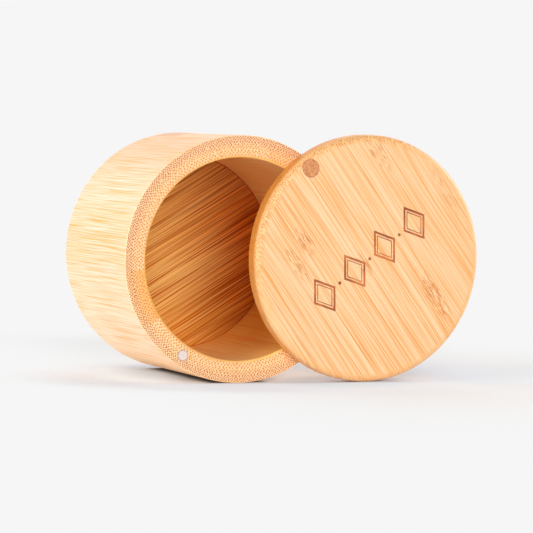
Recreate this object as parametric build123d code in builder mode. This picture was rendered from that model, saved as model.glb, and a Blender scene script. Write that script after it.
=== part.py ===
from build123d import *
from math import atan2, cos, degrees, radians, sin, sqrt
import os

# Salt box: a wall of bamboo staves, glued edge to edge and turned round, a laminated
# bamboo board let into its base, and a laminated lid that swivels on a screw in the
# rim. Two small magnets hold the lid shut. The box lies on its side with the lid swung
# open and standing on its edge, so both touch the floor at Z = 0. The base faces +Y and
# the mouth faces -Y. The origin is on the floor, under the middle of the bounding box.
# Sizes are in mm.

# --- Driving dimensions: box ---
box_radius = 44.45              # outside of the turned wall
box_height = 61.6               # from the base to the rim
wall_thickness = 7.85
stave_count = 13
first_seam_angle = -7.4         # from the pivot, round the rim
mouth_chamfer = 0.7             # broken inner edge of the rim
rim_edge_chamfer = 0.3          # broken outer edge of the rim
base_edge_round = 0.8
board_thickness = 4.3           # laminated base board
board_ledge = 1.5               # width of the step that the board is glued against

# --- Driving dimensions: lid ---
lid_overhang = 0.45             # lid edge beyond the wall when shut
lid_thickness = 7.0
lid_top_round = 2.7
lid_under_chamfer = 0.3
open_angle = 72.0               # how far the lid stands open, from shut

# --- Driving dimensions: pivot ---
shank_radius = 1.5
screw_depth = 12.0              # how far the screw goes into the wall
smooth_depth = 2.0              # unthreaded shank inside the wall
screw_head_radius = 2.8
screw_head_height = 1.9
head_edge_height = 0.8          # straight side of the pan head
thread_root_radius = 1.05
thread_pitch = 1.1
tip_length = 1.6
driver_slot_length = 3.0
driver_slot_width = 0.6
driver_slot_depth = 1.0
washer_radius = 3.0
washer_thickness = 0.5
spacer_radius = 3.0
spacer_thickness = 0.4
plug_radius = 3.3
plug_thickness = 2.0

# --- Driving dimensions: magnets ---
magnet_radius = 2.0
magnet_thickness = 3.0
magnet_angle = 183.0            # from the pivot, round the rim

# --- Driving dimensions: engraved ornament ---
lozenge_count = 4
lozenge_pitch = 14.65
lozenge_height = 14.8
lozenge_width = 10.4
wide_line = 0.8
fine_line = 0.35
line_gap = 0.45
dot_radius = 0.6
engraving_depth = 0.35

# --- Clearances ---
glue_gap = 0.02                 # round a glued piece
pivot_clearance = 0.05          # shank to bore, on the radius
running_play = 0.05             # along the pivot, each side of the lid
head_clearance = 0.15           # screw head to plug
pilot_clearance = 0.02
pilot_spare_depth = 1.0

# --- Worked out from the dimensions above ---
bore_radius = box_radius - wall_thickness
rabbet_radius = bore_radius + board_ledge
rim_centre_radius = box_radius - wall_thickness / 2
stave_angle = 360 / stave_count
lid_radius = box_radius + lid_overhang
lid_gap = spacer_thickness + running_play
counterbore_depth = running_play + washer_thickness + screw_head_height + head_clearance + plug_thickness
washer_seat_height = lid_gap + lid_thickness - counterbore_depth
head_base_height = washer_seat_height + running_play + washer_thickness
bearing_radius = shank_radius + pivot_clearance

# The lid hangs off the pivot, so its axis and the box's are equally far from it.
centre_distance = 2 * rim_centre_radius * sin(radians(open_angle / 2))
lid_run = sqrt(centre_distance**2 - lid_overhang**2)
lean = degrees(atan2(lid_overhang, lid_run))
box_x = (box_radius - lid_radius - lid_run) / 2
lid_x = box_x + lid_run
rim_y = (lid_gap + lid_thickness - box_height) / 2
pivot_bearing_on_box = lean + 90 - open_angle / 2
pivot_bearing_on_lid = pivot_bearing_on_box + open_angle


def facing_out(x, y, z, bearing):
    """A plane that faces out of the mouth, with its own X axis towards the pivot."""
    towards_pivot = (cos(radians(bearing)), 0, sin(radians(bearing)))
    return Plane(origin=(x, y, z), x_dir=towards_pivot, z_dir=(0, -1, 0))


rim_plane = facing_out(box_x, rim_y, box_radius, pivot_bearing_on_box)
base_plane = rim_plane.offset(-box_height)
lid_under_plane = facing_out(lid_x, rim_y - lid_gap, lid_radius, pivot_bearing_on_lid)
lid_top_plane = lid_under_plane.offset(lid_thickness)
pivot_point = rim_plane.from_local_coords(Vector(rim_centre_radius, 0, 0))
pivot_plane = Plane(origin=pivot_point, x_dir=rim_plane.x_dir, z_dir=rim_plane.z_dir)
pivot_spot = Location((rim_centre_radius, 0))
magnet_spot = Location(
    (rim_centre_radius * cos(radians(magnet_angle)), rim_centre_radius * sin(radians(magnet_angle)))
)


def circles_at(part, plane):
    """The round edges that lie in a plane, smallest first."""
    height = plane.origin.Y
    edges = part.edges().filter_by(GeomType.CIRCLE)
    return edges.filter_by_position(Axis.Y, height - 0.001, height + 0.001).sort_by(SortBy.RADIUS)


# --- Wall: the glued ring as it is turned, bored and drilled ---
with BuildPart() as turned_wall:
    with BuildSketch(rim_plane):
        Circle(box_radius)
        Circle(bore_radius, mode=Mode.SUBTRACT)
    extrude(amount=-box_height)
    chamfer(circles_at(turned_wall, rim_plane)[0], length=mouth_chamfer)
    chamfer(circles_at(turned_wall, rim_plane)[-1], length=rim_edge_chamfer)
    fillet(circles_at(turned_wall, base_plane)[-1], radius=base_edge_round)
    with BuildSketch(base_plane):
        Circle(rabbet_radius)
    extrude(amount=board_thickness, mode=Mode.SUBTRACT)
    with BuildSketch(rim_plane):
        with Locations(pivot_spot):
            Circle(shank_radius + pilot_clearance)
    extrude(amount=-(screw_depth + pilot_spare_depth), mode=Mode.SUBTRACT)
    with BuildSketch(rim_plane):
        with Locations(magnet_spot):
            Circle(magnet_radius + glue_gap)
    extrude(amount=-magnet_thickness, mode=Mode.SUBTRACT)


def seam_plane(number):
    """The plane of a seam in the wall, which faces the next stave round the rim."""
    round_axis = Axis(rim_plane.origin, rim_plane.z_dir)
    facing = rim_plane.y_dir.rotate(round_axis, first_seam_angle + number * stave_angle)
    return Plane(origin=rim_plane.origin, x_dir=rim_plane.z_dir, z_dir=facing)


# --- Staves: each is the part of the wall between two seams ---
staves = []
for number in range(stave_count):
    with BuildPart() as stave:
        add(turned_wall.part)
        split(bisect_by=seam_plane(number), keep=Keep.TOP)
        split(bisect_by=seam_plane(number + 1), keep=Keep.BOTTOM)
    staves.append(stave.part)

# --- Base board: glued into the rabbet, flush with the end of the wall ---
with BuildPart() as base_board:
    with BuildSketch(base_plane):
        Circle(rabbet_radius - glue_gap)
    extrude(amount=board_thickness)

# --- Lid: the turned disc first, because the plug is sanded flush with it ---
with BuildPart() as lid_form:
    with BuildSketch(lid_under_plane):
        Circle(lid_radius)
    extrude(amount=lid_thickness)
    fillet(circles_at(lid_form, lid_top_plane), radius=lid_top_round)
    chamfer(circles_at(lid_form, lid_under_plane), length=lid_under_chamfer)


def line_share(height, width, line):
    """The line's width as a share of the way from a lozenge's side to its centre."""
    side_distance = height * width / (2 * sqrt(height**2 + width**2))
    return line / side_distance


def lozenge_outline(height, width, line):
    """A lozenge drawn with one line of even width."""
    corners = [(height / 2, 0), (0, width / 2), (-height / 2, 0), (0, -width / 2)]
    outer = Polygon(*corners, mode=Mode.PRIVATE)
    share = line_share(height, width, line)
    inner = scale(outer, by=(1 - share, 1 - share, 1), mode=Mode.PRIVATE)
    return outer - inner


inner_size = 1 - line_share(lozenge_height, lozenge_width, wide_line + line_gap)
double_lozenge = lozenge_outline(lozenge_height, lozenge_width, wide_line)
double_lozenge += lozenge_outline(lozenge_height * inner_size, lozenge_width * inner_size, fine_line)

with BuildPart() as lid:
    add(lid_form.part)
    with BuildSketch(lid_under_plane):
        with Locations(pivot_spot):
            Circle(bearing_radius)
    extrude(amount=lid_thickness, mode=Mode.SUBTRACT)
    with BuildSketch(lid_top_plane):
        with Locations(pivot_spot):
            Circle(plug_radius + glue_gap)
    extrude(amount=-counterbore_depth, mode=Mode.SUBTRACT)
    with BuildSketch(lid_under_plane):
        with Locations(magnet_spot):
            Circle(magnet_radius + glue_gap)
    extrude(amount=magnet_thickness, mode=Mode.SUBTRACT)
    with BuildSketch(lid_top_plane):
        with GridLocations(0, lozenge_pitch, 1, lozenge_count):
            add(double_lozenge)
        with GridLocations(0, lozenge_pitch, 1, lozenge_count - 1):
            Circle(dot_radius)
    extrude(amount=-engraving_depth, mode=Mode.SUBTRACT)

# --- Pivot plug: hides the screw head, and follows the lid's rounded edge ---
with BuildPart() as pivot_plug:
    with BuildSketch(lid_top_plane):
        with Locations(pivot_spot):
            Circle(plug_radius)
    extrude(amount=-plug_thickness)
    add(lid_form.part, mode=Mode.INTERSECT)

# --- Pivot screw: pan head, smooth shank through the lid, threaded end in the wall ---
dome_rise = screw_head_height - head_edge_height
dome_radius = (screw_head_radius**2 + dome_rise**2) / (2 * dome_rise)
thread_length = screw_depth - smooth_depth - tip_length
thread_turns = int(thread_length / thread_pitch)
thread_outline = []
for turn in range(thread_turns):
    start = smooth_depth + turn * thread_pitch
    thread_outline += [(thread_root_radius, -start - thread_pitch / 4)]
    thread_outline += [(shank_radius, -start - thread_pitch * 3 / 4)]

with BuildPart() as pivot_screw:
    with BuildSketch(Plane(origin=pivot_point, x_dir=(1, 0, 0), z_dir=(0, 0, -1))):
        with BuildLine():
            Polyline(
                (0, head_base_height + screw_head_height),
                (0, -screw_depth),
                (thread_root_radius, -screw_depth + tip_length),
                *reversed(thread_outline),
                (thread_root_radius, -smooth_depth),
                (shank_radius, -smooth_depth),
                (shank_radius, head_base_height),
                (screw_head_radius, head_base_height),
                (screw_head_radius, head_base_height + head_edge_height),
            )
            RadiusArc(
                (screw_head_radius, head_base_height + head_edge_height),
                (0, head_base_height + screw_head_height),
                -dome_radius,
            )
        make_face()
    revolve(axis=Axis(pivot_point, rim_plane.z_dir))
    with BuildSketch(pivot_plane.offset(head_base_height + screw_head_height)):
        Rectangle(driver_slot_length, driver_slot_width)
        Rectangle(driver_slot_width, driver_slot_length)
    extrude(amount=-driver_slot_depth, mode=Mode.SUBTRACT)

# --- Washer under the screw head ---
with BuildPart() as screw_washer:
    with BuildSketch(pivot_plane.offset(washer_seat_height + running_play)):
        Circle(washer_radius)
        Circle(bearing_radius, mode=Mode.SUBTRACT)
    extrude(amount=washer_thickness)

# --- Spacer: keeps the lid off the rim as it swings ---
with BuildPart() as lid_spacer:
    with BuildSketch(pivot_plane):
        Circle(spacer_radius)
        Circle(bearing_radius, mode=Mode.SUBTRACT)
    extrude(amount=spacer_thickness)

# --- Magnets: one flush in the rim, one flush in the underside of the lid ---
with BuildPart() as rim_magnet:
    with BuildSketch(rim_plane):
        with Locations(magnet_spot):
            Circle(magnet_radius)
    extrude(amount=-magnet_thickness)

with BuildPart() as lid_magnet:
    with BuildSketch(lid_under_plane):
        with Locations(magnet_spot):
            Circle(magnet_radius)
    extrude(amount=magnet_thickness)

# --- Hand-off ---
os.makedirs("parts", exist_ok=True)

for number, stave_part in enumerate(staves, start=1):
    stave_part.label = f"wall_stave_{number}"
    export_step(stave_part, f"parts/{stave_part.label}.step")

base_board.part.label = "base_board"
export_step(base_board.part, "parts/base_board.step")

lid.part.label = "lid"
export_step(lid.part, "parts/lid.step")

pivot_plug.part.label = "pivot_plug"
export_step(pivot_plug.part, "parts/pivot_plug.step")

pivot_screw.part.label = "pivot_screw"
export_step(pivot_screw.part, "parts/pivot_screw.step")

screw_washer.part.label = "screw_washer"
export_step(screw_washer.part, "parts/screw_washer.step")

lid_spacer.part.label = "lid_spacer"
export_step(lid_spacer.part, "parts/lid_spacer.step")

rim_magnet.part.label = "rim_magnet"
export_step(rim_magnet.part, "parts/rim_magnet.step")

lid_magnet.part.label = "lid_magnet"
export_step(lid_magnet.part, "parts/lid_magnet.step")
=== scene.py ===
import math

import bpy
from mathutils import Matrix, Vector


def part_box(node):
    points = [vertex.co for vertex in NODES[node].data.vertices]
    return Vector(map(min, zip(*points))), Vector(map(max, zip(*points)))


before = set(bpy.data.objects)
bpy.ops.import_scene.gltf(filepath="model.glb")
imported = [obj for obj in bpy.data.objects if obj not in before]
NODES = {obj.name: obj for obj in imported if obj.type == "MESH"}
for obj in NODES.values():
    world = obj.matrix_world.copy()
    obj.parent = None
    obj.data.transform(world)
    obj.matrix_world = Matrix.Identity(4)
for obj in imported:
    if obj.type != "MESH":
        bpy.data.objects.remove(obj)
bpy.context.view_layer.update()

MM = 0.001
STAVES = [name for name in NODES if name.startswith("wall_stave_")]


def span(*names):
    """The lowest and highest corners of CAD nodes taken together, in metres."""
    lows, highs = zip(*[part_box(name) for name in names])
    return Vector([min(values) for values in zip(*lows)]), Vector([max(values) for values in zip(*highs)])


def middle(*names):
    """The centre of the box round CAD nodes, in metres."""
    low, high = span(*names)
    return (low + high) / 2


def radius_of(*names):
    """The radius of the round shape that CAD nodes make, in millimetres."""
    low, high = span(*names)
    return (high.x - low.x) / 2 / MM


# Axes and faces are in metres, as the frame gives them. A face is its piece's lowest Y, and it looks the way
# that the mouth does.
WALL_LOW, WALL_HIGH = span(*STAVES)
BOX_AXIS = middle(*STAVES)
LID_AXIS = middle("lid")
PIVOT = middle("pivot_plug")
RIM_MAGNET = middle("rim_magnet")
RIM_FACE = WALL_LOW.y
LID_FACE = span("lid")[0].y
BOARD_FACE = span("base_board")[0].y

# Lengths are in millimetres and bearings in radians.
BOX_RADIUS = radius_of(*STAVES)
BOX_DEPTH = (WALL_HIGH.y - WALL_LOW.y) / MM
RIM_CENTRE_RADIUS = math.hypot(RIM_MAGNET.x - BOX_AXIS.x, RIM_MAGNET.z - BOX_AXIS.z) / MM
WALL_THICKNESS = 2 * (BOX_RADIUS - RIM_CENTRE_RADIUS)
MOUTH_RADIUS = BOX_RADIUS - WALL_THICKNESS
BOARD_RADIUS = radius_of("base_board")
LID_RADIUS = radius_of("lid")
GRAIN_OF_LID = math.atan2(PIVOT.z - LID_AXIS.z, PIVOT.x - LID_AXIS.x)
GRAIN_OF_BOARD = math.radians(30.7)
STAVE_ANGLE = math.tau / len(STAVES)


def stave_bearing(name):
    """The bearing of a stave's middle, round the box's axis, from where it meets the staves beside it."""
    corners = [vertex.co - BOX_AXIS for vertex in NODES[name].data.vertices]
    bearings = [math.atan2(corner.z, corner.x) for corner in corners]
    return (min(bearings) + max(bearings)) / 2


PIVOT_STAVE = stave_bearing("wall_stave_1")


# ---- a small kit for finishes ----


def shade(red, green, blue):
    """A colour as it looks on a screen, 0 to 255, turned into the numbers that a shader works in."""

    def linear(level):
        level /= 255
        return level / 12.92 if level <= 0.04045 else ((level + 0.055) / 1.055) ** 2.4

    return (linear(red), linear(green), linear(blue), 1.0)


class Wire:
    """One output in a node tree. Arithmetic on it adds the Math nodes that work it out."""

    def __init__(self, tree, socket):
        self.tree = tree
        self.socket = socket

    def __neg__(self):
        return self.tree.maths("SUBTRACT", 0.0, self)

    def __add__(self, other):
        return self.tree.maths("ADD", self, other)

    def __radd__(self, other):
        return self.tree.maths("ADD", other, self)

    def __sub__(self, other):
        return self.tree.maths("SUBTRACT", self, other)

    def __rsub__(self, other):
        return self.tree.maths("SUBTRACT", other, self)

    def __mul__(self, other):
        return self.tree.maths("MULTIPLY", self, other)

    def __rmul__(self, other):
        return self.tree.maths("MULTIPLY", other, self)

    def __truediv__(self, other):
        return self.tree.maths("DIVIDE", self, other)

    def __rtruediv__(self, other):
        return self.tree.maths("DIVIDE", other, self)

    def __pow__(self, other):
        return self.tree.maths("POWER", self, other)

    def __rpow__(self, other):
        return self.tree.maths("POWER", other, self)


class Tree:
    """The node tree of a material or of the world, under construction."""

    def __init__(self, owner):
        owner.use_nodes = True
        self.nodes = owner.node_tree.nodes
        self.links = owner.node_tree.links
        self.nodes.clear()

    def node(self, kind, outputs, settings=None, sockets=None):
        """Adds a node. Its settings come first, then its sockets' values or links. Gives the named output,
        or a list of the named outputs."""
        made = self.nodes.new(kind)
        for name, value in (settings or {}).items():
            setattr(made, name, value)
        for name, value in (sockets or {}).items():
            socket = next(s for s in made.inputs if s.identifier == name)
            if isinstance(value, Wire):
                self.links.new(value.socket, socket)
            else:
                socket.default_value = value
        found = {s.identifier: Wire(self, s) for s in made.outputs}
        if isinstance(outputs, str):
            return found[outputs]
        return [found[name] for name in outputs]

    def maths(self, operation, first, second=0.0):
        """Adds a Math node, for one value or two."""
        sockets = {"Value": first, "Value_001": second}
        return self.node("ShaderNodeMath", "Value", {"operation": operation}, sockets)

    def mixed(self, share, first, second):
        """The first shader where share is 0, the second where it is 1."""
        sockets = {"Fac": share, "Shader": first, "Shader_001": second}
        return self.node("ShaderNodeMixShader", "Shader", {}, sockets)

    def background_rays(self):
        """1 for what the camera sees, straight or in metal and glass, and 0 for what lights the object."""
        rays = ("Is Camera Ray", "Is Glossy Ray", "Is Transmission Ray")
        camera, glossy, through = self.node("ShaderNodeLightPath", rays)
        return self.maths("MAXIMUM", camera, self.maths("MAXIMUM", glossy, through))


class Finish(Tree):
    """A material under construction. It reads a place on the piece in millimetres: x and y in the plane of
    the rim, and z out of the mouth."""

    def __init__(self, name, axis, face, turn=0.0):
        """axis is a point on the piece's axis, and face is where z is 0 along it, both in metres. turn is
        the bearing of x."""
        self.material = bpy.data.materials.new(name)
        super().__init__(self.material)
        upright = Matrix.Rotation(math.pi / 2, 3, "X") @ Matrix.Rotation(turn, 3, "Z")
        place = self.node("ShaderNodeMapping", "Vector", {"vector_type": "TEXTURE"}, {
            "Vector": self.node("ShaderNodeTexCoord", "Object"),
            "Location": (axis.x, face, axis.z),
            "Rotation": upright.to_euler(),
            "Scale": (MM, MM, MM),
        })
        self.x, self.y, self.z = self.split(place)

    def split(self, vector):
        return self.node("ShaderNodeSeparateXYZ", ("X", "Y", "Z"), {}, {"Vector": vector})

    def join(self, x, y, z=0.0):
        return self.node("ShaderNodeCombineXYZ", "Vector", {}, {"X": x, "Y": y, "Z": z})

    def from_middle(self, x, y):
        """How far the point x, y is from the point 0, 0."""
        return self.maths("SQRT", x * x + y * y)

    def fade(self, value, start, end):
        """0 at start, 1 at end and past it, with a soft step between."""
        return self.node("ShaderNodeMapRange", "Result", {"interpolation_type": "SMOOTHSTEP"}, {
            "Value": value,
            "From Min": start,
            "From Max": end,
        })

    def between(self, value, low, high, soft):
        """1 from low to high, and 0 a soft edge outside them."""
        return self.fade(value, low - soft, low) * self.fade(value, high + soft, high)

    def beside(self, value, border, side, reach):
        """0 at the first of two distances from a border and 1 at the second. side is 1 where the value is
        above the border and -1 where it is below."""
        start, full = reach
        return self.fade(value, border + side * start, border + side * full)

    def figure(self, first, second, sizes, layer=0.0, detail=2.0):
        """Smooth noise from 0 to 1 over two coordinates. sizes are its features' sizes along each of them,
        and another layer is another noise."""
        return self.node("ShaderNodeTexNoise", "Fac", {}, {
            "Vector": self.join(first / sizes[0], second / sizes[1], layer),
            "Scale": 1.0,
            "Detail": detail,
        })

    def cloud(self, size, detail=2.0):
        """Smooth noise from 0 to 1 with features of one size all through a piece."""
        return self.figure(self.x, self.y, (size, size), self.z / size, detail)

    def cells(self, vector, loose):
        """The nearest point of a square lattice whose pitch is 1: how far off it is, a number of its own,
        and its place. loose, from 0 to 1, is how far the points are scattered."""
        outputs = ("Distance", "Color", "Position")
        distance, tint, place = self.node("ShaderNodeTexVoronoi", outputs, {"voronoi_dimensions": "2D"}, {
            "Vector": vector,
            "Scale": 1.0,
            "Randomness": loose,
        })
        return distance, self.node("ShaderNodeSeparateColor", "Red", {}, {"Color": tint}), place

    def bundles(self, across, inwards, pitch, loose):
        """Fibre bundles cut across, in staggered rows. Gives what cells gives, on a lattice turned by 45
        degrees: its first axis is across + inwards and its second is across - inwards."""
        step = pitch * math.sqrt(2)
        return self.cells(self.join((across + inwards) / step, (across - inwards) / step), loose)

    def fibres(self, along, across, length, pitch, width=0.42, offset=(0.0, 0.0)):
        """Thin dashes that taper at both ends, each with a strength of its own, from 0 to 1. width is a
        share of the pitch, and the offset keeps one set clear of another."""
        place = self.join((along + offset[0]) / length, (across + offset[1]) / pitch)
        distance, own = self.cells(place, 1.0)[:2]
        return self.fade(distance, width, width / 3) * (0.25 + 0.75 * own)

    def chance(self, number):
        """A random number of its own for each whole number."""
        return self.node("ShaderNodeTexWhiteNoise", "Value", {"noise_dimensions": "1D"}, {"W": number})

    def blend(self, amount, first, second):
        """The first colour where amount is 0, the second where it is 1."""
        return self.node("ShaderNodeMix", "Result_Color", {"data_type": "RGBA"}, {
            "Factor_Float": amount,
            "A_Color": first,
            "B_Color": second,
        })

    def coats(self, ground, *coats):
        """A ground colour under coats of others. Each coat is how much of it covers what is below, and its
        colour."""
        for amount, colour in coats:
            ground = self.blend(amount, ground, colour)
        return ground

    def surface(self, colour, roughness, height, relief, **constants):
        """Ends the tree in a Principled shader. relief is the depth of the height's full stroke, in
        millimetres."""
        bump = self.node("ShaderNodeBump", "Normal", {}, {"Height": height, "Distance": relief * MM})
        sockets = {"Base Color": colour, "Roughness": roughness, "Normal": bump}
        sockets.update({name.replace("_", " "): value for name, value in constants.items()})
        shader = self.node("ShaderNodeBsdfPrincipled", "BSDF", {}, sockets)
        self.node("ShaderNodeOutputMaterial", (), {}, {"Surface": shader})
        return self.material


def put_on(material, *names):
    """Gives CAD nodes a finish through their own material slot."""
    for name in names:
        NODES[name].data.materials[0] = material


# ---- the staves: the box's wall ----

SKIN_CREAM = shade(250, 209, 166)
SKIN_LIGHT = shade(255, 222, 200)
SKIN_WARM = shade(248, 199, 142)
SKIN_STREAK = shade(246, 168, 58)
SKIN_PAINTED_LIGHT = shade(255, 229, 198)
SKIN_UNDER_SHADE = shade(255, 202, 136)
SKIN_STAIN = shade(216, 136, 80)
RIM_PALE = shade(241, 195, 145)
RIM_DENSE = shade(239, 188, 142)
RIM_PAINTED_LIGHT = shade(255, 212, 160)
RIM_GOLD = shade(241, 176, 108)
RIM_DOT_OUTER = shade(156, 70, 2)
RIM_DOT_INNER = shade(212, 126, 30)
MOUTH_PALE = shade(255, 199, 114)
MOUTH_GOLD = shade(252, 184, 92)
EDGE_CREAM = shade(252, 212, 158)
WELL_TAN = shade(255, 220, 152)
WELL_PAINTED_SHADE = shade(252, 202, 104)
WELL_STREAK = shade(246, 160, 84)

# Each stave's own tone is chance. This gold seed gives one golden stave, at the lower left of the rim. From
# one stave to the next, the figure jumps by the shift, in millimetres.
GOLD_SEED = 326
WARM_SEED = 9
STAVE_SHIFT = 50.0

# Where a finish begins and where it is full, in millimetres from a border of the wall. The glue line between
# two staves is in radians.
END_SKIN = (0.12, 0.02)
SIDE_SKIN = (0.08, 0.02)
LIP_DEPTH = (1.0, 0.9)
LIP_WIDTH = (0.9, 0.8)
GLUE_ANGLE = (0.004, 0.0)

# Where a side of the wall begins and where it is full, by how far up it lies from the axis (1 is the top).
# The top side is painted warmer as painted shade, the low side paler as painted light, and the underside
# ruddier as painted shade warmed by bounce light.
# The well's painted shade, ruddier low down and to the right behind the lid, goes by how far to the right it
# lies, and the stain's run is down from the rim.
TOP_SHADE_SIDE = (0.4, 0.9)
LOW_SIDE = (0.3, -0.75)
UNDER_SHADE_SIDE = (-0.75, -0.97)
STAIN_SIDE = (0.955, 0.99)
STAIN_RUN = (42.0, 57.0, 6.0)
LOW_WELL = (0.3, -0.6)
WELL_SHADE_SIDE = (-0.1, 0.6)

# Sizes of the bamboo's figure in millimetres: round the wall, then along the fibre (outwards on the rim).
SKIN_TONE = (5.0, 60.0)
SKIN_SWAY = (7.0, 50.0)
SKIN_STREAKS = (0.34, 48.0)
FINE_STREAKS = (0.22, 60.0)
WELL_VEINS = (0.5, 70.0)
RIM_DRIFT = (7.0, 3.5)
SKIN_FIBRES = dict(length=40.0, pitch=0.5)
PALE_FIBRES = dict(length=30.0, pitch=0.8, offset=(0.0, 7.3))

# Fibre bundles in a cut end: each zone's pitch, and the depths under the skin between which it lies, in
# millimetres. A bundle's edge is a share of the way between two bundles.
BUNDLE_ZONES = ((0.74, 0.0, 2.4), (0.9, 2.4, 5.0), (1.08, 5.0, 8.0))
BUNDLE_LOOSE = 0.28
BUNDLE_EDGE = (0.4, 0.27)
ZONE_EDGE = 0.001
DENSE_RINGS = (5.5, 0.5)
MOUTH_RINGS = (6.0, 7.0)


class StaveFinish(Finish):
    """Bamboo for the staves. A place on it lies so far around the wall, so deep below the rim and at such a
    radius, all in millimetres."""

    def __init__(self):
        super().__init__("stave_bamboo", BOX_AXIS, RIM_FACE, PIVOT_STAVE)
        self.depth = -self.z
        self.radius = self.from_middle(self.x, self.y)
        bearing = self.maths("ARCTAN2", self.y, self.x)
        stave = self.maths("FLOOR", bearing / STAVE_ANGLE + 0.5)
        angle = bearing - stave * STAVE_ANGLE
        self.around = angle * BOX_RADIUS + STAVE_SHIFT * stave
        self.glue = self.beside(self.maths("ABSOLUTE", angle), STAVE_ANGLE / 2, -1, GLUE_ANGLE)
        self.warm = self.chance(stave + WARM_SEED)
        self.golden = self.fade(self.chance(stave + GOLD_SEED), 0.6, 1.0)

        # How far to the right of the axis a place lies, and how far above it, as shares of its radius.
        cosine, sine = math.cos(PIVOT_STAVE), math.sin(PIVOT_STAVE)
        self.aside = (self.x * cosine - self.y * sine) / self.radius
        self.rise = (self.x * sine + self.y * cosine) / self.radius
        # The low side: the skin and the rim are painted paler here as painted light, and the fibres sway
        # less.
        self.low_side = self.fade(self.rise, *LOW_SIDE)

        # The fibres' own way round the wall, which sways a little.
        sway = self.figure(self.around, self.depth, SKIN_SWAY, layer=3.0) - 0.5
        self.askew = self.around + (1.6 - 0.9 * self.low_side) * sway
        self.fine = self.figure(self.askew, self.depth, FINE_STREAKS, layer=5.0)
        self.fibre = self.fibres(self.depth, self.askew, **SKIN_FIBRES)

    def skin(self):
        """Outside: fine fibres that run along each stave, a little askew, and a stain at the top."""
        tone = self.figure(self.around, self.depth, SKIN_TONE, layer=9.0)
        streak = self.figure(self.askew, self.depth, SKIN_STREAKS, layer=5.0)
        pale = self.fibres(self.depth, self.askew, **PALE_FIBRES)
        # The pale streaks are paler on the low side: painted light.
        light = self.blend(self.low_side, SKIN_LIGHT, SKIN_PAINTED_LIGHT)
        strength = 0.85 + 0.15 * self.warm
        stain = self.fade(self.rise, *STAIN_SIDE) * self.between(self.depth, *STAIN_RUN)
        return self.coats(
            SKIN_CREAM,
            (self.fade(0.6 * tone + 0.4 * self.warm, 0.3, 0.75), SKIN_WARM),
            # Warmer on the top side: painted shade.
            (0.5 * self.fade(self.rise, *TOP_SHADE_SIDE), SKIN_WARM),
            # Paler on the low side: painted light.
            (0.9 * self.low_side, SKIN_PAINTED_LIGHT),
            # Ruddier on the underside: painted shade, warmed by the light that the floor throws back.
            (0.8 * self.fade(self.rise, *UNDER_SHADE_SIDE), SKIN_UNDER_SHADE),
            (0.8 * self.fade(streak, 0.5, 0.4) * strength, light),
            (0.9 * self.fade(streak, 0.54, 0.62) * strength * (1 - 0.45 * self.low_side), SKIN_STREAK),
            (0.4 * pale, light),
            (0.8 * stain * self.fade(streak, 0.35, 0.55), SKIN_STAIN),
            (0.8 * self.fibre * strength, SKIN_STREAK),
        )

    def bundle_ends(self, around, inwards):
        """Cut ends of the fibre bundles, 1 at the heart of each, in rings that open out from the skin
        inwards."""
        ends = 0.0
        for pitch, start, end in BUNDLE_ZONES:
            distance, own, heart = self.bundles(around, inwards, pitch, BUNDLE_LOOSE)
            heart_x, heart_y = self.split(heart)[:2]
            ring = (heart_x - heart_y) * (pitch / math.sqrt(2))
            mark = self.fade(distance, *BUNDLE_EDGE) * (0.8 + 0.2 * own)
            ends = self.maths("MAXIMUM", ends, mark * self.between(ring, start, end, ZONE_EDGE))
        return ends

    def rim(self):
        """A cut end: bundle ends, dark and close under the skin, larger and paler towards the mouth. Gives
        its colour and where the bundles are."""
        inwards = BOX_RADIUS - self.radius
        drift = self.figure(self.around, self.radius, RIM_DRIFT, layer=1.0) - 0.5
        ends = self.bundle_ends(self.around + 1.6 * drift, inwards + 0.8 * drift)
        dense = self.fade(inwards + 3.0 * drift, *DENSE_RINGS)
        colour = self.coats(
            self.blend(dense, RIM_PALE, RIM_DENSE),
            # Paler on the low side of the rim: painted light.
            (0.4 * self.low_side, RIM_PAINTED_LIGHT),
            (self.golden * (1 - 0.7 * dense), RIM_GOLD),
            (0.7 * self.golden * self.fade(inwards, *MOUTH_RINGS), MOUTH_GOLD),
            (ends, self.blend(dense, RIM_DOT_INNER, RIM_DOT_OUTER)),
        )
        return colour, ends

    def well(self):
        """Inside: smooth turned wall with faint streaks along each stave."""
        low = self.fade(self.rise, *LOW_WELL)
        vein = self.figure(self.around, self.depth, WELL_VEINS, layer=15.0)
        return self.coats(
            WELL_TAN,
            # Ruddier low down and to the right, behind the lid: painted shade.
            (low * self.fade(self.aside, *WELL_SHADE_SIDE), WELL_PAINTED_SHADE),
            (0.2 * self.fade(self.fine, 0.35, 0.7), WELL_STREAK),
            ((0.4 + 0.5 * low) * self.fade(vein, 0.52, 0.6), WELL_STREAK),
            (0.8 * self.fibre, WELL_STREAK),
        )


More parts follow.
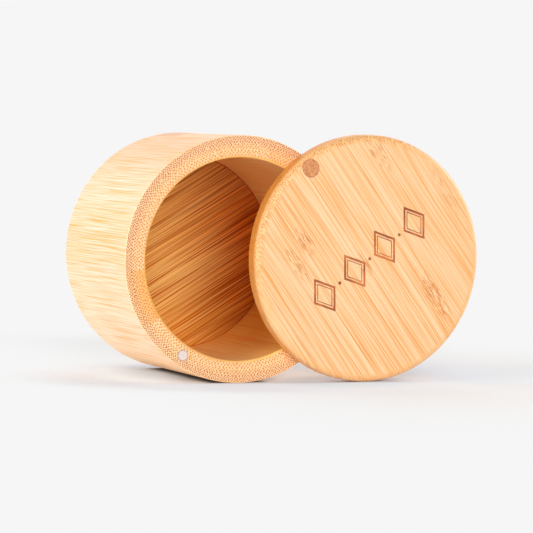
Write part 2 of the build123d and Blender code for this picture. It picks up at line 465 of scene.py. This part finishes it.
def stave_finish():
    finish = StaveFinish()
    rim, ends = finish.rim()
    on_rim = finish.beside(finish.depth, 0.0, 1, END_SKIN)
    on_end = finish.maths("MAXIMUM", on_rim, finish.beside(finish.depth, BOX_DEPTH, -1, END_SKIN))
    in_well = finish.beside(finish.radius, MOUTH_RADIUS, 1, SIDE_SKIN)
    on_skin = finish.beside(finish.radius, BOX_RADIUS, -1, SIDE_SKIN)
    near_rim = finish.beside(finish.depth, 0.0, 1, LIP_DEPTH)
    lip = near_rim * finish.beside(finish.radius, MOUTH_RADIUS, 1, LIP_WIDTH)
    colour = finish.coats(
        EDGE_CREAM,
        (0.6 * ends, RIM_DENSE),
        (on_end, rim),
        (lip * (1 - on_rim), finish.blend(finish.golden, MOUTH_PALE, MOUTH_GOLD)),
        (in_well, finish.well()),
        (on_skin, finish.skin()),
        (0.35 * finish.glue, RIM_DOT_INNER),
    )
    height = 0.5 * finish.fine + 0.5 * finish.fibre - ends * on_end
    return finish.surface(colour, 0.42 + 0.14 * finish.fine + 0.1 * ends, height, relief=0.03)


# ---- the laminated boards: strips glued side by side ----

STRIP_WIDTH = 6.15
FACE_PALE = shade(236, 202, 160)
FACE_PEACH = shade(235, 194, 149)
FACE_LINE = shade(219, 136, 0)
FACE_SEAM = shade(206, 118, 50)

# Sizes of the strips' figure in millimetres: along the grain, then across it (in strips for the glue line).
# The shift is the most by which a strip's figure is moved along the grain.
FACE_SHIFT = 70.0
FACE_LANES = (70.0, 1.6)
FACE_BUSY = (45.0, 3.0)
FACE_FINE = (40.0, 0.2)
FACE_LINES = dict(length=110.0, pitch=1.0, width=0.3)
FACE_THREADS = dict(length=60.0, pitch=0.56, width=0.34, offset=(23.0, 3.1))
GLUE_STRETCH = (18.0, 1.0)
GLUE_WIDTH = (0.24, 0.08)


def strips(finish, first_seam):
    """A board's strips: each one's number, and the distance to its nearer seam."""
    count = (finish.y - first_seam) / STRIP_WIDTH
    number = finish.maths("FLOOR", count)
    place = (count - number) * STRIP_WIDTH
    return number, finish.maths("MINIMUM", place, STRIP_WIDTH - place)


def glue_line(finish, strip, to_seam):
    """The thin dark line where two strips meet, which comes and goes along its length."""
    presence = finish.figure(finish.x, strip, GLUE_STRETCH)
    return finish.fade(to_seam, *GLUE_WIDTH) * finish.fade(presence, 0.38, 0.62)


def pale_face(finish, strip, glue, across):
    """The planed face of a laminated board: pale strips with thin golden lines along the grain. Gives its
    colour, its finest figure and where the lines are."""
    own = finish.chance(strip)
    shift = finish.x + FACE_SHIFT * own
    lane = finish.figure(shift, across, FACE_LANES, layer=31.0 * own)
    busy = finish.figure(shift, across, FACE_BUSY, layer=7.0 * own)
    fine = finish.figure(shift, across, FACE_FINE, layer=21.0 * own)
    line = finish.fibres(shift, across, **FACE_LINES) * finish.fade(busy, 0.2, 0.52)
    colour = finish.coats(
        FACE_PALE,
        (finish.fade(0.4 * own + 0.6 * lane, 0.3, 0.7), FACE_PEACH),
        (0.6 * finish.fade(fine, 0.48, 0.64), FACE_LINE),
        (0.9 * finish.fibres(shift, across, **FACE_THREADS), FACE_LINE),
        (0.95 * line, FACE_LINE),
        (0.6 * glue, FACE_SEAM),
    )
    return colour, fine, line


# ---- the base board ----

# The inner face's colours are a darker, redder copy of the board's pale face: painted shade of the box's
# hollow.
BOARD_LIGHT = shade(240, 196, 114)
BOARD_PAINTED_LIGHT = shade(253, 198, 110)
BOARD_GLEAM = shade(246, 204, 132)
BOARD_DEEP = shade(232, 167, 76)
BOARD_RUSSET = shade(214, 132, 34)
BOARD_PAINTED_SHADE = shade(214, 96, 0)
BOARD_SHADED_LINE = shade(114, 30, 0)
BOARD_LINE = shade(176, 72, 0)
BOARD_SEAM = 1.2
BOARD_SHIFT = 60.0
BOARD_BEND = (50.0, 5.0)
BOARD_TONE = (120.0, 1.3)
BOARD_GRAIN = (70.0, 0.32)
BOARD_FIBRES = dict(length=90.0, pitch=0.8, width=0.34)
BOARD_THREADS = dict(length=60.0, pitch=0.5, width=0.34, offset=(17.0, 2.3))
BOARD_GLEAMS = dict(length=60.0, pitch=0.9, width=0.3, offset=(31.0, 5.2))

# Where a tone begins and where it is full, in millimetres: along the grain (the painted shade), across it
# (the russet, and the painted light), in from the wall, in from the board's own edge, and behind the inner
# face (its shaded copy).
PAINTED_SHADE_END = (-15.0, 33.0)
RUSSET_SIDE = (-6.0, -24.0)
PAINTED_LIGHT_SIDE = (-6.0, 24.0)
CORNER_SHADE = (0.8, 0.1)
GLUED_EDGE = (0.25, 0.0)
INNER_FACE = (-0.6, -0.3)


def board_inside(finish, strip, glue, across, shift, fibre):
    """The inner face: a darker, redder copy of the pale face, as painted shade of the box's hollow. It is
    darker and redder still towards the lower end of the grain, as painted shade from the lid, and paler at
    the upper side, as painted light.
    """
    tone = finish.figure(shift, across, BOARD_TONE, layer=7.0, detail=3.0)
    grain = finish.figure(shift, across, BOARD_GRAIN, layer=11.0)
    # Painted shade from the lid along the grain, darkening the lines too, and painted light at the upper
    # side, where the lines fade.
    shaded = finish.fade(finish.x, *PAINTED_SHADE_END)
    painted_light = finish.fade(finish.y, *PAINTED_LIGHT_SIDE)
    faint = 1 - 0.5 * painted_light
    line = finish.blend(shaded, BOARD_LINE, BOARD_SHADED_LINE)
    corner = finish.beside(finish.from_middle(finish.x, finish.y), MOUTH_RADIUS, -1, CORNER_SHADE)
    return finish.coats(
        BOARD_LIGHT,
        (finish.fade(0.6 * tone + 0.4 * finish.chance(strip), 0.2, 0.8), BOARD_DEEP),
        (0.55 * finish.fade(finish.y, *RUSSET_SIDE), BOARD_RUSSET),
        (0.85 * painted_light, BOARD_PAINTED_LIGHT),
        (0.9 * shaded * faint, BOARD_PAINTED_SHADE),
        (0.8 * finish.fade(grain, 0.48, 0.62), line),
        (0.95 * fibre * faint, line),
        (0.9 * finish.fibres(shift, across, **BOARD_THREADS) * faint, line),
        (0.6 * finish.fibres(shift, across, **BOARD_GLEAMS) * (1 - 0.6 * shaded), BOARD_GLEAM),
        (0.7 * finish.maths("MAXIMUM", corner, glue), BOARD_LINE),
    )


def board_finish():
    finish = Finish("base_laminate", BOX_AXIS, BOARD_FACE, GRAIN_OF_BOARD)
    strip, to_seam = strips(finish, BOARD_SEAM)
    glue = glue_line(finish, strip, to_seam)
    shift = finish.x + BOARD_SHIFT * finish.chance(strip)
    bend = finish.figure(shift, finish.y, BOARD_BEND, layer=4.0) - 0.5
    across = finish.y + 1.4 * bend
    fibre = finish.fibres(shift, across, **BOARD_FIBRES)
    inner = board_inside(finish, strip, glue, across, shift, fibre)
    outer, fine = pale_face(finish, strip, glue, across)[:2]
    glued = finish.beside(finish.from_middle(finish.x, finish.y), BOARD_RADIUS, -1, GLUED_EDGE)
    outer = finish.blend(0.6 * glued, outer, FACE_SEAM)
    # The inner face takes the shaded copy: painted shade of the box's hollow.
    colour = finish.blend(finish.fade(finish.z, *INNER_FACE), outer, inner)
    height = 0.5 * fine - fibre
    return finish.surface(colour, 0.44 + 0.16 * fine, height, relief=0.03, Specular_IOR_Level=0.05)


# ---- the lid ----

FACE_PAINTED_SHADE = shade(226, 160, 96)
EDGE_PALE = shade(235, 186, 126)
EDGE_GOLD = shade(226, 152, 66)
EDGE_BROWN = shade(206, 126, 40)
EDGE_SPECK = shade(202, 116, 34)
KNOT_BROWN = shade(190, 98, 16)
SCORCH_LIGHT = shade(206, 118, 56)
SCORCH_DARK = shade(152, 72, 28)
LID_SEAM = -3.8
LID_SWAY = (34.0, 7.0)
LID_RIPPLE = (4.0, 2.4)
LID_SHADE_SIDE = (20.0, -30.0)

# Each knot's place, its length along the grain and its width, in millimetres, and how strongly it shows.
KNOTS = ((15.3, 24.3, 9.0, 3.0, 0.8), (20.5, 17.3, 7.0, 3.6, 0.95), (-0.5, 3.0, 6.0, 2.6, 0.9),
         (-27.0, -13.4, 14.0, 3.6, 1.0), (30.0, -25.0, 11.0, 4.0, 0.75), (2.5, -39.0, 14.0, 3.0, 0.5))
KNOT_FLECKS = dict(length=8.0, pitch=0.6)
KNOT_SHREDS = dict(length=5.0, pitch=0.9, width=0.36, offset=(3.0, 1.3))

# The round edge: how far in from the side it begins and is full, and how far down the side does. The strips'
# two ends go by the cosine of the bearing from the grain, and a speck's edge is as a bundle's.
EDGE_RING = (3.4, 1.6)
SIDE_DEPTH = (1.6, 3.0)
NEAR_END = (0.1, 0.7)
FAR_END = (-0.3, -0.9)
EDGE_PITCH = 0.72
EDGE_LOOSE = 0.5
SPECK_EDGE = (0.44, 0.26)
EDGE_DRIFT = (5.0, 5.0)
EDGE_DRIFT_DEPTH = 2.0
EDGE_CLOUD = (5.0, 1.6)
EDGE_CLOUD_DEPTH = 0.8

# The ornament's grooves: the depths where the scorch begins and ends, the radius that it stays within, and
# the size of its patches, all in millimetres.
SCORCH_START = (0.05, 0.15)
SCORCH_END = (1.0, 0.8)
SCORCH_REACH = (36.0, 35.0)
SCORCH_PATCH = (9.0, 9.0)


def knots(finish):
    """How strongly a knot shows, from 0 to 1."""
    found = 0.0
    for x, y, length, width, force in KNOTS:
        spread = ((finish.x - x) / length) ** 2 + ((finish.y - y) / width) ** 2
        found = finish.maths("MAXIMUM", found, force * finish.fade(spread, 1.0, 0.2))
    return found


def lid_face(finish):
    """The top: a planed face, whose grain runs wild round the knots. Gives what pale_face gives."""
    strip, to_seam = strips(finish, LID_SEAM)
    knot = knots(finish)
    sway = finish.figure(finish.x, finish.y, LID_SWAY, layer=strip) - 0.5
    ripple = finish.figure(finish.x, finish.y, LID_RIPPLE, layer=strip) - 0.5
    across = finish.y + sway + (0.08 + 2.4 * knot) * ripple
    face, fine, line = pale_face(finish, strip, glue_line(finish, strip, to_seam), across)
    fleck = finish.fibres(finish.x, across, **KNOT_FLECKS)
    shred = finish.fibres(finish.x, across, **KNOT_SHREDS)
    colour = finish.coats(
        face,
        (knot * finish.maths("MAXIMUM", fleck, shred), KNOT_BROWN),
        # Darker towards one side of the face: painted shade.
        (0.2 * finish.fade(finish.y, *LID_SHADE_SIDE), FACE_PAINTED_SHADE),
    )
    return colour, fine, line


def lid_edge(finish, radius, depth):
    """The coat of the round edge and the side: bundles cut across at the strips' ends, and soft streaks
    along their sides."""
    drift = finish.figure(finish.x, finish.y, EDGE_DRIFT, layer=depth / EDGE_DRIFT_DEPTH) - 0.5
    level = depth + 0.8 * drift
    distance, own = finish.bundles(finish.y, level, EDGE_PITCH, EDGE_LOOSE)[:2]
    cosine = finish.x / radius
    at_end = finish.maths("MAXIMUM", finish.fade(cosine, *NEAR_END), 0.4 * finish.fade(cosine, *FAR_END))
    side = finish.fade(depth, *SIDE_DEPTH)
    speck = finish.fade(distance, *SPECK_EDGE) * (0.4 + 0.6 * own) * at_end * (1 - 0.5 * side)
    cloud = finish.figure(finish.x, finish.y, EDGE_CLOUD, layer=level / EDGE_CLOUD_DEPTH, detail=3.0)
    colour = finish.coats(
        EDGE_PALE,
        (side * (0.45 + 0.55 * at_end), EDGE_GOLD),
        ((0.3 + 0.25 * side) * finish.fade(cloud, 0.46, 0.62), EDGE_BROWN),
        (0.9 * speck, EDGE_SPECK),
    )
    on_edge = finish.beside(radius, LID_RADIUS, -1, EDGE_RING)
    return on_edge * (0.4 + 0.6 * finish.maths("MAXIMUM", at_end, side)), colour


def lid_ornament(finish, radius, depth):
    """The coat of the ornament: the cutter scorches the floor of each groove."""
    burn = finish.figure(finish.x, finish.y, SCORCH_PATCH, layer=1.0)
    scorch = finish.blend(finish.fade(burn, 0.35, 0.65), SCORCH_LIGHT, SCORCH_DARK)
    floor = finish.fade(depth, *SCORCH_START) * finish.fade(radius, *SCORCH_REACH)
    return floor * finish.fade(depth, *SCORCH_END), scorch


def lid_finish():
    finish = Finish("lid_laminate", LID_AXIS, LID_FACE, GRAIN_OF_LID)
    radius = finish.from_middle(finish.x, finish.y)
    depth = -finish.z
    face, fine, line = lid_face(finish)
    colour = finish.coats(face, lid_edge(finish, radius, depth), lid_ornament(finish, radius, depth))
    return finish.surface(colour, 0.42 + 0.14 * fine + 0.08 * line, 0.5 * fine - line, relief=0.02)


# ---- small parts ----

PLUG_PALE = shade(214, 150, 94)
PLUG_BROWN = shade(172, 98, 55)
PLUG_GAP_SHADE = shade(146, 70, 28)
PLATING_PALE = shade(226, 212, 207)
PLATING_DULL = shade(210, 192, 184)
PLATING_GAP_SHADE = shade(150, 120, 106)
STEEL_PALE = shade(206, 206, 210)
STEEL_DULL = shade(166, 166, 170)
NYLON_PALE = shade(240, 238, 230)
NYLON_DULL = shade(222, 220, 210)

# Sizes of their figure in millimetres, and how far in from its side the painted shade round a disc's edge
# begins and is full.
PLUG_SPECKS = (0.3, 0.3)
PLUG_PATCHES = (1.4, 1.4)
PLUG_EDGE = (0.3, 0.05)
PLATING_SMEARS = (0.8, 0.8)
PLATING_SHADE_RING = (0.45, 0.15)
LATHE_RINGS = (0.09, 0.4)
STEEL_SMEAR = 0.6
NYLON_CLOUD = 0.8
NYLON_GRIT = 0.12


def disc_edge(finish, node, ring):
    """How strongly the painted shade round the edge of a round node shows, from 0 to 1."""
    return finish.beside(finish.from_middle(finish.x, finish.y), radius_of(node), -1, ring)


def plug_finish():
    finish = Finish("plug_end_grain", PIVOT, LID_FACE, GRAIN_OF_LID)
    speck = finish.figure(finish.x, finish.y, PLUG_SPECKS)
    patch = finish.figure(finish.x, finish.y, PLUG_PATCHES, layer=5.0)
    mottle = finish.fade(0.7 * speck + 0.3 * patch, 0.42, 0.6)
    colour = finish.coats(
        PLUG_PALE,
        (mottle, PLUG_BROWN),
        # Dark ring round the plug: painted shade of the gap round it.
        (0.7 * disc_edge(finish, "pivot_plug", PLUG_EDGE), PLUG_GAP_SHADE),
    )
    return finish.surface(colour, 0.5 + 0.15 * mottle, -mottle, relief=0.03)


def magnet_finish(node):
    finish = Finish(node + "_plating", middle(node), RIM_FACE)
    smear = finish.figure(finish.x, finish.y, PLATING_SMEARS, detail=3.0)
    colour = finish.coats(
        PLATING_PALE,
        (smear, PLATING_DULL),
        # Dark ring round the magnet: painted shade of the gap round it.
        (0.7 * disc_edge(finish, node, PLATING_SHADE_RING), PLATING_GAP_SHADE),
    )
    return finish.surface(colour, 0.3 + 0.2 * smear, smear, relief=0.01, Metallic=0.3)


def steel_finish():
    finish = Finish("screw_steel", PIVOT, LID_FACE)
    lathe = finish.figure(finish.from_middle(finish.x, finish.y), finish.z, LATHE_RINGS)
    smear = finish.cloud(STEEL_SMEAR, detail=3.0)
    colour = finish.blend(smear, STEEL_PALE, STEEL_DULL)
    return finish.surface(colour, 0.24 + 0.2 * smear, lathe, relief=0.01, Metallic=1.0)


def nylon_finish():
    finish = Finish("spacer_nylon", PIVOT, LID_FACE)
    grit = finish.cloud(NYLON_GRIT)
    colour = finish.blend(finish.cloud(NYLON_CLOUD), NYLON_PALE, NYLON_DULL)
    return finish.surface(colour, 0.42 + 0.2 * grit, grit, relief=0.01)


put_on(stave_finish(), *STAVES)
put_on(board_finish(), "base_board")
put_on(lid_finish(), "lid")
put_on(plug_finish(), "pivot_plug")
put_on(magnet_finish("rim_magnet"), "rim_magnet")
put_on(magnet_finish("lid_magnet"), "lid_magnet")
put_on(steel_finish(), "pivot_screw", "screw_washer")
put_on(nylon_finish(), "lid_spacer")


# ---- the studio ----

BACKGROUND = shade(246, 246, 246)
FLOOR_WHITE = shade(254, 254, 254)
# Near the object the camera sees painted colours on the floor: a cool tint against bounce light, painted
# shadow, and the crevice's darkest painted shadow.
FLOOR_COOL = shade(231, 239, 251)
FLOOR_PAINTED_SHADOW = shade(207, 218, 233)
FLOOR_CREVICE_SHADOW = shade(120, 124, 130)
WORLD_LEVEL = 0.05

# Soft round patches of the floor as the camera sees it. Each has a middle (x, and z to the front) and half
# sizes, in millimetres, and the shares of those where it begins and where it is full.
# The cool patch is a painted tint against the warm light that the wood throws on the floor. The patches
# under the box and the lid are painted shadow.
COOL_PATCH = ((5.0, 5.0), (72.0, 48.0), (1.8, 0.7))
UNDER_BOX = ((-24.0, -10.0), (28.0, 36.0), (1.3, 0.6))
UNDER_LID = ((16.0, 30.0), (26.0, 22.0), (1.3, 0.6))
# In the bounce patch beside the box at the left, and outside the open floor, the background's glow is
# painted over the floor's shadows: painted light.
LEFT_BOUNCE = ((-52.0, -12.0), (14.0, 28.0), (1.5, 0.7))
OPEN_FLOOR = ((-10.0, 0.0), (60.0, 45.0), (0.9, 1.6))

# Other borders on the floor, in millimetres: beside the line where the box rests and along it (the painted
# crevice shadow), from left to right, out from the middle, and round the strip in front that is painted
# lighter, which slants.
CREVICE_SIDES = (13.0, 8.0)
CREVICE_RUN = (-30.0, 24.0, 5.0)
LEFT_TO_RIGHT = (-90.0, 40.0)
FAR_OFF = (60.0, 220.0)
FRONT_SLANT = 0.13
FRONT_START = (29.0, 36.0)
FRONT_END = (90.0, 50.0)
FRONT_SIDES = (-50.0, 50.0, 30.0)

# The floor's size and the lamps' size, distance and aim are in metres.
FLOOR_SIDE = 60.0
LAMP_SIZE = 1.4
LAMP_DISTANCE = 2.4
LAMP_AIM = (0.0, 0.0, 0.045)

# Each lamp's bearing from the front (right is positive) and height above the horizon, in degrees, and the
# level to which it lights a surface that faces it, where 1 shows a colour as written.
LAMPS = {
    "front_lamp": (-10, 17, 0.79),
    "left_lamp": (-90, 20, 0.37),
    "low_left_lamp": (-70, 3, 0.42),
    "right_lamp": (90, 20, 0.72),
    "back_left_lamp": (-140, 35, 0.26),
    "back_right_lamp": (145, 35, 0.22),
    "low_back_lamp": (180, 3, 0.18),
}

# The camera's place is in metres, its lens and sensor in millimetres, and its turns in degrees.
CAMERA_PLACE = (-0.42687, -0.95848, 0.09815)
CAMERA_BEARING = -23.909
CAMERA_HEIGHT = 3.164
CAMERA_ROLL = 1.126
CAMERA_LENS = 191.58
CAMERA_SENSOR = 36.0


def stand(name, data):
    """Puts a new object in the scene."""
    thing = bpy.data.objects.new(name, data)
    bpy.context.scene.collection.objects.link(thing)
    return thing


def looking_down(bearing, height):
    """The turn of a lamp or camera that looks in from a bearing and a height above the horizon, in
    degrees."""
    tilt = Matrix.Rotation(math.radians(90 - height), 4, "X")
    return Matrix.Rotation(math.radians(bearing), 4, "Z") @ tilt


def floor_patch(finish, centre, half_size, shares):
    """1 within a patch and 0 outside it, with a soft border."""
    x = (finish.x - centre[0]) / half_size[0]
    z = (finish.z - centre[1]) / half_size[1]
    return finish.fade(finish.from_middle(x, z), *shares)


def floor_colour(finish, seen):
    """White for the light that it throws back. For the camera it has painted colour near the object: a cool
    tint against the warm light that the wood throws back, painted shadow under the box and the lid, and the
    darkest painted shadow in the crevice beside the line where the box rests."""
    under = finish.maths("MAXIMUM", floor_patch(finish, *UNDER_BOX), floor_patch(finish, *UNDER_LID))
    from_box = finish.maths("ABSOLUTE", finish.x - BOX_AXIS.x / MM)
    crevice = finish.fade(from_box, *CREVICE_SIDES) * finish.between(finish.z, *CREVICE_RUN)
    return finish.coats(
        FLOOR_WHITE,
        # Painted for the camera: a cool tint, shadow under the box and the lid, and the darkest shadow in
        # the crevice.
        (seen * floor_patch(finish, *COOL_PATCH), FLOOR_COOL),
        (seen * under, FLOOR_PAINTED_SHADOW),
        (seen * crevice, FLOOR_CREVICE_SHADOW),
    )


def floor_gone(finish):
    """How far the floor has gone over to the background's glow: all the way far off, and near the object as
    painted light over its shadows, all the way at the left and part of the way in front and close beside the
    box."""
    # Painted light: near the object the glow covers the lamps' soft shadows, most at the left.
    open_floor = floor_patch(finish, *OPEN_FLOOR) * (1 - 0.65 * finish.fade(finish.x, *LEFT_TO_RIGHT))
    gone = finish.maths("MAXIMUM", open_floor, finish.fade(finish.from_middle(finish.x, finish.z), *FAR_OFF))
    front = finish.z - FRONT_SLANT * finish.x
    strip = finish.fade(front, *FRONT_START) * finish.fade(front, *FRONT_END)
    # A strip in front of the object, painted lighter.
    painted_front_light = strip * finish.between(finish.x, *FRONT_SIDES)
    # Beside the box at the left, the glow is painted over the shadow and the wood's warm bounce light.
    eased = finish.maths("MAXIMUM", 0.5 * painted_front_light, 0.35 * floor_patch(finish, *LEFT_BOUNCE))
    return finish.maths("MAXIMUM", gone, eased)


def studio_floor():
    """A wide floor, which keeps the object's shadow with painted shadow and painted light near the object,
    and fades into the background.
    """
    mesh = bpy.data.meshes.new("studio_floor")
    half = FLOOR_SIDE / 2
    corners = [(-half, -half, 0), (half, -half, 0), (half, half, 0), (-half, half, 0)]
    mesh.from_pydata(corners, [], [(0, 1, 2, 3)])
    floor = stand("studio_floor", mesh)
    finish = Finish("studio_floor", Vector(), 0.0)
    seen = finish.background_rays()
    paper = finish.node("ShaderNodeBsdfDiffuse", "BSDF", {}, {"Color": floor_colour(finish, seen)})
    glow = finish.node("ShaderNodeEmission", "Emission", {}, {"Color": BACKGROUND})
    mixed = finish.mixed(seen * floor_gone(finish), paper, glow)
    finish.node("ShaderNodeOutputMaterial", (), {}, {"Surface": mixed})
    mesh.materials.append(finish.material)


def studio_world():
    """Plain background for the camera, and a little even light for the object."""
    world = bpy.data.worlds.new("studio")
    bpy.context.scene.world = world
    tree = Tree(world)
    light = tree.node("ShaderNodeBackground", "Background", {}, {"Strength": WORLD_LEVEL})
    seen = tree.node("ShaderNodeBackground", "Background", {}, {"Color": BACKGROUND})
    mixed = tree.mixed(tree.background_rays(), light, seen)
    tree.node("ShaderNodeOutputWorld", (), {}, {"Surface": mixed})


def soft_box(name, bearing, height, level):
    """A square lamp aimed at the object."""
    lamp = bpy.data.lights.new(name, "AREA")
    lamp.size = LAMP_SIZE
    lamp.energy = level * math.pi ** 2 * LAMP_DISTANCE ** 2
    back = Matrix.Translation((0, 0, LAMP_DISTANCE))
    stand(name, lamp).matrix_world = Matrix.Translation(LAMP_AIM) @ looking_down(bearing, height) @ back


def studio_camera():
    data = bpy.data.cameras.new("camera")
    data.sensor_width = CAMERA_SENSOR
    data.lens = CAMERA_LENS
    camera = stand("camera", data)
    roll = Matrix.Rotation(math.radians(CAMERA_ROLL), 4, "Z")
    turn = looking_down(CAMERA_BEARING, CAMERA_HEIGHT) @ roll
    camera.matrix_world = Matrix.Translation(CAMERA_PLACE) @ turn
    bpy.context.scene.camera = camera


studio_floor()
studio_world()
for name, (bearing, height, level) in LAMPS.items():
    soft_box(name, bearing, height, level)
studio_camera()
bpy.context.scene.view_settings.view_transform = "Standard"
